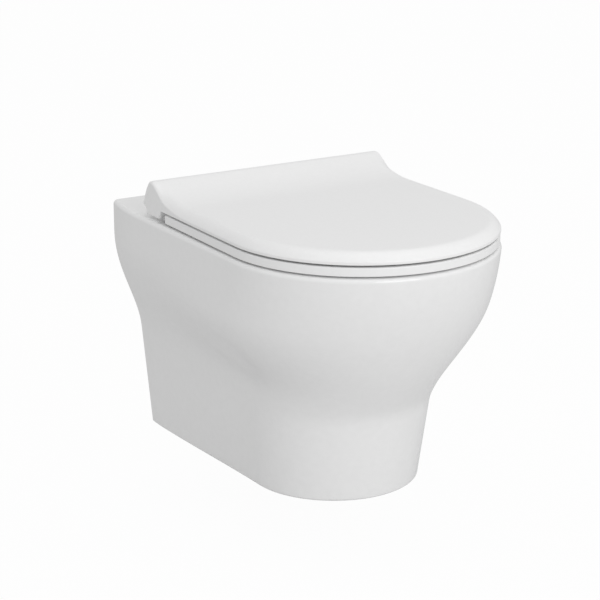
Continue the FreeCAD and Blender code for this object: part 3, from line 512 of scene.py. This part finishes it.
# %% Plate with a rounded edge
EDGE_STEPS = [0.0, 0.15, 0.4, 0.75, 1.2, 1.9, 2.8, 3.9, 5.2, 6.7, 8.4, 10.3, 12.6, 15.5]
FALL_WIDTH = 15.5
FALL_DEPTH = 10.9
CREASE = 1.0
HOOD_ROUND = 4.0
INNER_SHARES = [0.85, 0.68, 0.5, 0.33, 0.16, 0.0]


def normals_of(line, flip=1.0):
    """The normals of an open line of points."""
    found = []
    for i in range(len(line)):
        a = line[max(i - 1, 0)]
        b = line[min(i + 1, len(line) - 1)]
        along = Vector((b[0] - a[0], b[1] - a[1])).normalized()
        found.append(Vector((-along.y, along.x)) * flip)
    return found


def sink(distance, radius):
    """How far a quarter round lies under the surface at a distance from the edge."""
    if distance >= radius:
        return 0.0
    return radius - math.sqrt(radius * radius - (radius - distance) ** 2)


def plate_fall(distance):
    """How far the plate's top lies under its middle at a distance from the edge."""
    left = max(1.0 - distance / FALL_WIDTH, 0.0)
    return FALL_DEPTH * left * left + 0.5 * sink(distance, CREASE)


def columns(half):
    """Distances from the edge and the places across that belong to them."""
    places = [(d, half - d) for d in EDGE_STEPS]
    places += [(99.0, (half - EDGE_STEPS[-1]) * s) for s in INNER_SHARES]
    return places


def lid_half_width(y):
    """It narrows evenly and softly in equal parts from the front to the heel."""
    way = (y - LID_CENTRE) / (HEEL_Y - LID_CENTRE)
    return mix(LID_FRONT, 174.0, smoothstep(way) * 0.5
               + 0.5 * (y - LID_CENTRE) / (HEEL_Y - LID_CENTRE))


def edge_fall(y, distance, top):
    """How far a face of the lid sinks near its edge, at a depth y."""
    if top:
        return mix(plate_fall(distance), sink(distance, HOOD_ROUND),
                   smoothstep((y + 165.0) / 40.0))
    return sink(distance, mix(0.9, HOOD_ROUND, smoothstep((y + 150.0) / 10.0)))


def sheet_rows(line, normals, top):
    """Rows across the lid, one for each point of the side outline."""
    rows = []
    for (y, z), normal in zip(line, normals):
        row = []
        for d, x in columns(lid_half_width(y)):
            down = edge_fall(y, d, top)
            row.append((x, y - normal.x * down, z - normal.y * down))
        rows.append(row + [(-x, y, z) for x, y, z in reversed(row[:-1])])
    return rows


def sheet_disc(top, turns=120):
    """The half disc in front: one row for each turn, from edge to centre."""
    height, up = (LID_TOP, 1.0) if top else (LID_BOTTOM, -1.0)
    rows = []
    for i in range(turns + 1):
        a = math.pi * i / turns
        rows.append([(x * math.cos(a), LID_CENTRE - x * math.sin(a),
                      height - up * edge_fall(LID_CENTRE, d, top))
                     for d, x in columns(LID_FRONT)])
    return rows


def lid_solid(name):
    """The closed lid: upper and lower face, each with its half disc, and walls."""
    bm = bmesh.new()
    outer_edges = []
    disc_edges = []
    for line, top in ((upper, True), (lower, False)):
        normals = normals_of(line, 1.0 if top else -1.0)
        normals[-1] = Vector((1.0, 0.0))
        normals[0] = Vector((0.0, 1.0 if top else -1.0))
        rows = [[bm.verts.new(place(*p)) for p in row]
                for row in sheet_rows(line, normals, top)]
        for a, b in zip(rows, rows[1:]):
            bridge(bm, a, b, closed=False)
        outer_edges.append(([r[0] for r in rows], [r[-1] for r in rows]))
        disc = [[bm.verts.new(place(*p)) for p in row] for row in sheet_disc(top)]
        for a, b in zip(disc, disc[1:]):
            bridge(bm, a, b, closed=False)
        disc_edges.append([r[0] for r in disc])
    walls = [(outer_edges[0][0], outer_edges[1][0]), (outer_edges[0][1], outer_edges[1][1]),
             (disc_edges[0], disc_edges[1])]
    for above, below in walls:
        strips = [above]
        for k in range(1, 4):
            strips.append([bm.verts.new(a.co.lerp(b.co, k / 4)) for a, b in zip(above, below)])
        strips.append(below)
        for a, b in zip(strips, strips[1:]):
            bridge(bm, a, b, closed=False)
    bmesh.ops.remove_doubles(bm, verts=bm.verts, dist=2e-6)
    bmesh.ops.dissolve_degenerate(bm, edges=bm.edges, dist=1e-7)
    return new_object(name, bm)


lid = lid_solid("lid_shell")
check = bmesh.new()
check.from_mesh(lid.data)
open_edges = sum(1 for e in check.edges if not e.is_manifold)
check.free()
print("lid solid:", len(lid.data.polygons), "faces,", open_edges, "open edges")
assert open_edges == 0, "the lid has to be closed before it is hollowed"

# %% [markdown]
# ## Hollow underside, windows and knuckles
#
# The lid is a shell: a recess with a rim under the plate, and a deeper hollow
# in the hood. Behind each hinge the hood's back has a window, which lets the
# lid swing past the bracket's arm. The knuckles hang from the hood's ceiling
# on webs, and are bored for their sleeves.

# %% Hollow the lid and add its knuckles
AXIS = (-118.0, 355.0)


def add_knuckle(target, low, high):
    """Joins a knuckle on and bores it, past both ends, for its bush or damper."""
    join(target, rod("knuckle", (low, *AXIS), (high, *AXIS), 9.8, 0.6))
    carve(target, rod("bore", (low - 2, *AXIS), (high + 2, *AXIS), 7.0))


def lid_recess(name, inset, low, high):
    """The room under the plate, eased at its ceiling."""
    half = LID_FRONT - inset
    loops = []
    ease = 3.0
    for t in [None] + quarter(4):
        shrink = 0.0 if t is None else ease * (1 - math.cos(t))
        z = low if t is None else high - ease * (1 - math.sin(t))
        r = half - shrink
        back_half = lid_half_width(-190.0) - inset - shrink
        loop = [(back_half, -190.0 - shrink, z)]
        loop += [(r * math.cos(math.pi * i / 96), LID_CENTRE - r * math.sin(math.pi * i / 96), z)
                 for i in range(97)]
        loop.append((-back_half, -190.0 - shrink, z))
        loops.append(loop)
    return sleeve(name, loops)


carve(lid, lid_recess("recess", 9.0, 320.0, 351.5))
hollow = [(-105.4, 325.0), (-105.2, 351.0), (-108.5, 359.0), (-113.5, 367.0),
          (-117.0, 370.4), (-121.0, 371.6), (-129.0, 370.6), (-143.0, 365.5)]
hollow += arc((-143.0, 365.5), (-200.0, 351.5), 290.0, 1, 12)[1:]
hollow += [(-200.0, 325.0)]
carve(lid, prism("hood_hollow", hollow, -158.0, 158.0))
carve(lid, prism("hood_ends", hollow[:8] + [(-143.0, 325.0)], -169.5, 169.5))
for side in (-1, 1):
    low, high = sorted((24 * side, 131 * side))
    carve(lid, block("window", (low, -117.5, 320), (high, -90, 369)))
for side in (-1, 1):
    low, high = sorted((90.5 * side, 126.5 * side))
    web = [(-123.0, 355.0), (-113.0, 355.0), (-113.0, 369.5), (-115.0, 373.0), (-123.0, 373.0)]
    join(lid, prism("web", web, low, high))
    add_knuckle(lid, low, high)
finish_surface(lid, "lid")
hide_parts("lid")

# %% [markdown]
# ## The seat ring
#
# The ring's outer line is a D with two heels, which reach back beside the
# hinges, and a shallow notch between them, whose walls spread so that every
# point is seen from the middle of the hole. The inner line is a stadium. The
# upper edges are rounded more than the lower ones, and the top falls gently
# towards the hole, as a moulded seat's does.

# %% Outer and inner line of the ring
SEAT_BOTTOM = 328.4
SEAT_TOP = 339.5
SEAT_CENTRE = -347.1
FOOT_ROUND = 1.0
HEAD_ROUND = 2.0
NOTCH_FOOT = 127.0
NOTCH_MOUTH = 143.0


def rounded(corners, radius, count=8):
    """A polygon whose corners are replaced by arcs; corners with 0 stay."""
    line = []
    for i, (x, y, on) in enumerate(corners):
        here = Vector((x, y))
        if not on:
            line.append(tuple(here))
            continue
        before = (Vector(corners[i - 1][:2]) - here).normalized()
        after = (Vector(corners[(i + 1) % len(corners)][:2]) - here).normalized()
        angle = before.angle(after)
        set_back = radius / math.tan(angle / 2)
        middle = (before + after).normalized() * (radius / math.sin(angle / 2))
        a = here + before * set_back - here - middle
        b = here + after * set_back - here - middle
        turn = a.angle_signed(b)
        for k in range(count + 1):
            w = turn * k / count
            spun = Vector((a.x * math.cos(w) + a.y * math.sin(w),
                           -a.x * math.sin(w) + a.y * math.cos(w)))
            line.append(tuple(here + middle + spun))
    return line


front = [(176.5 * math.cos(math.pi * i / 144), SEAT_CENTRE - 176.5 * math.sin(math.pi * i / 144), 0)
         for i in range(145)]
side_right = [(mix(173.7, 176.5, i / 12), mix(-164.0, SEAT_CENTRE, i / 12), 0) for i in range(12)]
side_left = [(-x, y, 0) for x, y, on in reversed(side_right)]
notch = [(-NOTCH_FOOT + 2 * NOTCH_FOOT * i / 40, -171.0, 0) for i in range(2, 39)]
corners = side_right + front + side_left
corners += [(-173.6, -154.0, 1), (-NOTCH_MOUTH, -154.0, 1), (-NOTCH_FOOT, -171.0, 1)]
corners += notch + [(NOTCH_FOOT, -171.0, 1), (NOTCH_MOUTH, -154.0, 1), (173.6, -154.0, 1)]
seat_line = rounded(corners, 7.0)
print("seat outline:", len(seat_line), "points")


def offset_line(line, amount):
    """The closed line moved inwards along its normals."""
    moved = []
    for i in range(len(line)):
        a = Vector(line[i - 1])
        b = Vector(line[(i + 1) % len(line)])
        along = (b - a).normalized()
        moved.append((line[i][0] + along.y * amount, line[i][1] - along.x * amount))
    return moved


def hole_line(line, grow=0.0):
    """The stadium's points, one for each outer point, in steady order."""
    half, back, fore = 109.0 + grow, 212.0 - grow, 469.0 + grow
    centre = -340.5
    turns = []
    for x, y in line:
        a = math.atan2(centre - y, x)
        while turns and a < turns[-1] - math.pi:
            a += 2 * math.pi
        turns.append(max(a, turns[-1] + 1e-4) if turns else a)
    limit = turns[0] + 2 * math.pi - 1e-4
    for i in reversed(range(len(turns))):
        turns[i] = min(turns[i], limit)
        limit = turns[i] - 1e-4
    found = []
    for a in turns:
        ux, uy = math.cos(a), -math.sin(a)
        reach = half / abs(ux) if abs(ux) > 1e-9 else 1e9
        y = centre + uy * reach
        rear, front_y = -(back + half), -(fore - half)
        if y > rear or y < front_y:
            off = centre - (rear if y > rear else front_y)
            b = uy * off
            reach = -b + math.sqrt(b * b - off * off + half * half)
        found.append((ux * reach, centre + uy * reach))
    return found


print("opening:", len(hole_line(seat_line)), "points")

# %% [markdown]
# ## Build the ring
#
# The loops go once round the ring's own section and close on themselves. Arms
# and knuckles are joined on behind, where the lid's hood hides them.

# %% Ring, arms and knuckles
section = []


def add_ring(line, z):
    """One more loop of the ring, at a height."""
    section.append([(x, y, z) for x, y in line])


for t in quarter(4):
    add_ring(offset_line(seat_line, FOOT_ROUND * (1 - math.sin(t))),
             SEAT_BOTTOM + FOOT_ROUND * (1 - math.cos(t)))
for t in quarter(6):
    add_ring(offset_line(seat_line, HEAD_ROUND * (1 - math.cos(t))),
             SEAT_TOP - HEAD_ROUND * (1 - math.sin(t)))
INNER_FALL = 1.2
top_outer = offset_line(seat_line, HEAD_ROUND)
top_inner = hole_line(seat_line, 4.0)
for share in (0.2, 0.4, 0.6, 0.8):
    add_ring([(mix(a[0], b[0], share), mix(a[1], b[1], share))
              for a, b in zip(top_outer, top_inner)], SEAT_TOP - INNER_FALL * smoothstep(share))
for t in reversed(quarter(6)):
    add_ring(hole_line(seat_line, 4.0 * (1 - math.cos(t))),
             SEAT_TOP - INNER_FALL - 4.0 * (1 - math.sin(t)))
for t in reversed(quarter(4)):
    add_ring(hole_line(seat_line, 2.0 * (1 - math.sin(t))), SEAT_BOTTOM + 2.0 * (1 - math.cos(t)))
low_outer = offset_line(seat_line, FOOT_ROUND)
low_inner = hole_line(seat_line, 2.0)
for share in (0.75, 0.5, 0.25):
    add_ring([(mix(a[0], b[0], share), mix(a[1], b[1], share))
              for a, b in zip(low_outer, low_inner)], SEAT_BOTTOM)


def torus(name, loops):
    """A body whose last loop joins its first."""
    bm = bmesh.new()
    rows = [[bm.verts.new(place(*p)) for p in loop] for loop in loops]
    for a, b in zip(rows, rows[1:] + rows[:1]):
        bridge(bm, a, b)
    return new_object(name, bm)


seat = torus("seat_shell", section)
for side in (-1, 1):
    low, high = sorted((28.5 * side, 64.5 * side))
    arm = [(-179.0, 332.0), (-163.0, 332.0), (-150.0, 336.5), (-124.0, 348.0),
           (-118.0, 355.0), (-123.0, 362.0), (-146.0, 350.5), (-160.0, 342.6),
           (-168.0, 339.6), (-179.0, 338.6)]
    join(seat, prism("arm", arm, low, high))
    add_knuckle(seat, low, high)
finish_surface(seat, "seat")
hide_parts("seat_ring")

# %% [markdown]
# ## Buffers
#
# Four soft discs keep the ring off the pan and four pads keep the lid off the
# ring. They are turned shapes with an eased rim and a shallow dimple.

# %% Turned buffers
def turned(name, x, y, outline, count=40):
    """A body of revolution about an upright axis from (radius, z) points."""
    loops = [[(x + r * math.cos(2 * math.pi * i / count),
               y + r * math.sin(2 * math.pi * i / count), z) for i in range(count)]
             for r, z in outline]
    return sleeve(name, loops)


buffer_angle = math.radians(31.0)
spots = [(146.0 * math.sin(buffer_angle), SEAT_CENTRE - 146.0 * math.cos(buffer_angle)),
         (146.0, -236.0)]
seat_pad = [(2.4, 333.0), (2.4, 329.6), (7.6, 328.6), (8.6, 328.6), (9.0, 328.3), (9.0, 327.6),
            (8.4, 327.2), (7.4, 327.0), (3.0, 327.0), (2.6, 327.3), (1.0, 327.3)]
lid_pad = [(5.4, 351.5), (5.4, 349.5), (6.0, 348.6), (6.0, 341.4), (5.5, 340.4), (4.6, 340.0),
           (2.0, 340.0), (1.6, 340.4), (0.7, 340.4)]


def turned_set(name, outline, body, node):
    """The same turned pad on all four spots, as one object."""
    parts = []
    for x, y in spots:
        for side in (-1, 1):
            parts.append(turned(name, x * side, y, outline))
    bm = bmesh.new()
    for part in parts:
        bm.from_mesh(part.data)
        bpy.data.meshes.remove(part.data)
    obj = new_object(name, bm)
    finish_surface(obj, body, 40.0)
    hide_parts(node)
    return obj


seat_pads = turned_set("seat_pads", seat_pad, "seat", "seat_buffers")
lid_pads = turned_set("lid_pads", lid_pad, "lid", "lid_buffers")

# %% [markdown]
# ## Materials
#
# Colours are written as the sRGB values that a picture shows. One small helper
# adds a node, sets its inputs and links what is given as a socket.

# %% Material helpers
def linear(code):
    """An sRGB hex code as linear red, green, blue and alpha."""
    values = []
    for i in (1, 3, 5):
        c = int(code[i:i + 2], 16) / 255
        values.append(c / 12.92 if c <= 0.04045 else ((c + 0.055) / 1.055) ** 2.4)
    return (*values, 1.0)


def add(tree, kind, inputs=None, **settings):
    """A node with its settings, values and links."""
    node = tree.nodes.new("ShaderNode" + kind)
    for key, value in settings.items():
        setattr(node, key, value)
    for key, value in (inputs or {}).items():
        if isinstance(value, bpy.types.NodeSocket):
            tree.links.new(value, node.inputs[key])
        else:
            node.inputs[key].default_value = value
    return node


def new_material(name):
    """A Principled material with the object's own coordinates."""
    material = bpy.data.materials.new(name)
    material.use_nodes = True
    tree = material.node_tree
    shader = tree.nodes["Principled BSDF"]
    where = add(tree, "TexCoord").outputs["Object"]
    return material, tree, shader, where


def noise(tree, where, size_mm, detail=2.0):
    """Noise whose features are about size_mm across."""
    return add(tree, "TexNoise", {"Vector": where, "Scale": 1000.0 / size_mm,
                                  "Detail": detail}).outputs["Fac"]


def between(tree, factor, low, high):
    """A factor from 0 to 1, spread over a range."""
    return add(tree, "MapRange", {"Value": factor, "To Min": low, "To Max": high}).outputs["Result"]


def tint(tree, factor, code_a, code_b):
    """A colour between two codes."""
    blend = add(tree, "Mix", data_type="RGBA")
    tree.links.new(factor, blend.inputs[0])
    blend.inputs[6].default_value = linear(code_a)
    blend.inputs[7].default_value = linear(code_b)
    return blend.outputs[2]


def raise_surface(tree, shader, height, depth_mm, strength=1.0):
    """Bump of a depth in millimetres."""
    bump = add(tree, "Bump", {"Height": height, "Distance": depth_mm * 0.001,
                              "Strength": strength})
    tree.links.new(bump.outputs["Normal"], shader.inputs["Normal"])


# %% [markdown]
# Glaze is smooth and slightly wavy, under a thin clear coat.

# %% Glazed ceramic
glaze, tree, shader, where = new_material("glazed_ceramic")
cloud = noise(tree, where, 140.0)
peel = noise(tree, where, 9.0, 1.0)
colour = tint(tree, peel, "#F1F1F1", "#F5F5F5")
tree.links.new(between(tree, cloud, 0.09, 0.15), shader.inputs["Roughness"])
shader.inputs["IOR"].default_value = 1.5
shader.inputs["Coat Weight"].default_value = 0.25
shader.inputs["Coat Roughness"].default_value = 0.04
tree.links.new(colour, shader.inputs["Base Color"])
raise_surface(tree, shader, peel, 0.02, 0.25)
pan.data.materials.clear()
pan.data.materials.append(glaze)

# %% [markdown]
# Duroplast is a little duller. Its roughness starts at 0.28, because at 0.24
# to 0.30 denoised pictures showed thin lines that followed this noise.

# %% Moulded duroplast of the seat and the lid
duroplast, tree, shader, where = new_material("white_duroplast")
cloud = noise(tree, where, 220.0)
grain = noise(tree, where, 5.0, 1.0)
tree.links.new(tint(tree, grain, "#F1F1F1", "#F5F5F5"), shader.inputs["Base Color"])
tree.links.new(between(tree, cloud, 0.28, 0.33), shader.inputs["Roughness"])
shader.inputs["IOR"].default_value = 1.5
raise_surface(tree, shader, grain, 0.01, 0.2)
for obj in (seat, lid):
    obj.data.materials.clear()
    obj.data.materials.append(duroplast)

# %% [markdown]
# The buffers built above and the hinges' small pieces, which keep the solids'
# shapes, get a finish each.

# %% Rubber, nylon, bumper and steel
rubber, tree, shader, where = new_material("grey_rubber")
speck = noise(tree, where, 1.2)
tree.links.new(tint(tree, speck, "#3C3C3D", "#47484A"), shader.inputs["Base Color"])
tree.links.new(between(tree, speck, 0.6, 0.8), shader.inputs["Roughness"])
raise_surface(tree, shader, speck, 0.05, 0.4)

bumper, tree, shader, where = new_material("clear_bumper")
speck = noise(tree, where, 3.0)
tree.links.new(tint(tree, speck, "#DEDEDA", "#E8E8E4"), shader.inputs["Base Color"])
tree.links.new(between(tree, speck, 0.35, 0.5), shader.inputs["Roughness"])
shader.inputs["Subsurface Weight"].default_value = 0.2
shader.inputs["Subsurface Scale"].default_value = 0.004
raise_surface(tree, shader, speck, 0.03, 0.3)


def nylon(name, light, dark):
    """Nylon in two near shades."""
    material, tree, shader, where = new_material(name)
    grain = noise(tree, where, 0.8)
    tree.links.new(tint(tree, grain, light, dark), shader.inputs["Base Color"])
    tree.links.new(between(tree, grain, 0.42, 0.55), shader.inputs["Roughness"])
    raise_surface(tree, shader, grain, 0.02, 0.4)
    return material


white_nylon = nylon("white_nylon", "#E6E6E3", "#DCDCD8")
grey_nylon = nylon("grey_nylon", "#6D6F72", "#626467")

steel, tree, shader, where = new_material("brushed_stainless")
stretched = add(tree, "Mapping", {"Vector": where, "Scale": (0.04, 1.0, 1.0)}).outputs["Vector"]
lines = noise(tree, stretched, 0.35, 3.0)
tree.links.new(tint(tree, lines, "#B9B8B4", "#CFCECB"), shader.inputs["Base Color"])
tree.links.new(between(tree, lines, 0.24, 0.4), shader.inputs["Roughness"])
shader.inputs["Metallic"].default_value = 1.0
raise_surface(tree, shader, lines, 0.01, 0.3)

finishes = {
    "stud_sleeves": white_nylon, "hinge_pads": rubber, "cone_washers": rubber,
    "hinge_bracket_left": steel, "hinge_bracket_right": steel,
    "hinge_pin_left": steel, "hinge_pin_right": steel, "seat_studs": steel,
    "seat_washers": white_nylon, "wing_nuts": white_nylon,
    "seat_damper": grey_nylon, "seat_bush": white_nylon,
    "lid_damper": grey_nylon, "lid_bush": white_nylon,
}
for name, material in finishes.items():
    mesh = nodes[name].data
    mesh.materials.clear()
    mesh.materials.append(material)
for obj in (seat_pads, lid_pads):
    obj.data.materials.clear()
    obj.data.materials.append(bumper)
print("materials:", len(bpy.data.materials))

# %% [markdown]
# ## Floor, light and camera
#
# The pan hangs 85 mm over a pale floor, which the camera sees as almost white
# but for the shadow on it.

# %% Floor
AIR_BELOW = 0.085
FLOOR_Z = -0.252 - AIR_BELOW
PAPER_SHARE = 0.97
bm = bmesh.new()
bmesh.ops.create_grid(bm, x_segments=8, y_segments=8, size=8.0)
floor = new_object("floor", bm)
floor.location.z = FLOOR_Z
floor_paint = bpy.data.materials.new("pale_floor")
floor_paint.use_nodes = True
tree = floor_paint.node_tree
tree.nodes.clear()
where = add(tree, "TexCoord").outputs["Object"]
tone = tint(tree, noise(tree, where, 300.0), "#D8D8D8", "#DEDEDE")
matt = add(tree, "BsdfDiffuse", {"Color": tone}).outputs["BSDF"]
white = add(tree, "Emission", {"Color": (1, 1, 1, 1), "Strength": 1.0}).outputs["Emission"]
ray = add(tree, "LightPath")
seen = add(tree, "Math", {0: ray.outputs["Is Camera Ray"], 1: PAPER_SHARE},
           operation="MULTIPLY").outputs[0]
blend = add(tree, "MixShader", {0: seen, 1: matt, 2: white}).outputs[0]
add(tree, "OutputMaterial", {"Surface": blend})
floor.data.materials.append(floor_paint)

# %% [markdown]
# The even world and two wide lamps, one in front and one above, light the
# object. What only the camera sees of the world is white.

# %% World and lamps
DOME_STRENGTH = 0.80
world = bpy.data.worlds.new("studio")
bpy.context.scene.world = world
world.use_nodes = True
tree = world.node_tree
tree.nodes.clear()
ray = add(tree, "LightPath")
shown = add(tree, "Math", {0: ray.outputs["Is Camera Ray"], 1: ray.outputs["Is Transmission Ray"]},
            operation="MAXIMUM").outputs[0]
dome = add(tree, "Background", {"Color": linear("#EDEDED"), "Strength": DOME_STRENGTH}).outputs[0]
paper = add(tree, "Background", {"Color": (1, 1, 1, 1), "Strength": 1.0}).outputs[0]
blend = add(tree, "MixShader", {0: shown, 1: dome, 2: paper}).outputs[0]
add(tree, "OutputWorld", {"Surface": blend})


def lamp(name, place_at, aim, width, height, power):
    """A wide lamp at a place, turned towards a point, in metres and watts."""
    data = bpy.data.lights.new(name, "AREA")
    data.shape = "RECTANGLE"
    data.size = width
    data.size_y = height
    data.energy = power
    obj = bpy.data.objects.new(name, data)
    obj.location = place_at
    obj.rotation_euler = (Vector(aim) - Vector(place_at)).to_track_quat("-Z", "Y").to_euler()
    bpy.context.scene.collection.objects.link(obj)


lamp("front", (0.0, -4.0, 1.5), (0, -0.3, 0), 2.4, 2.0, 42.0)
lamp("above", (0.0, -0.9, 3.0), (0, -0.3, 0), 3.0, 2.6, 12.0)

# %% [markdown]
# The camera stands where the photograph's was, found from the straight and
# the round lines of the pan.

# %% Camera
camera_data = bpy.data.cameras.new("camera")
camera_data.lens = 129.83
camera_data.sensor_width = 36.0
camera = bpy.data.objects.new("camera", camera_data)
camera.location = place(-1411.78, -2545.75, 1028.10)
aim = place(-37.71, -268.5, 233.66)
camera.rotation_euler = (aim - camera.location).to_track_quat("-Z", "Y").to_euler()
bpy.context.scene.collection.objects.link(camera)
bpy.context.scene.camera = camera
bpy.context.scene.view_settings.view_transform = "Standard"
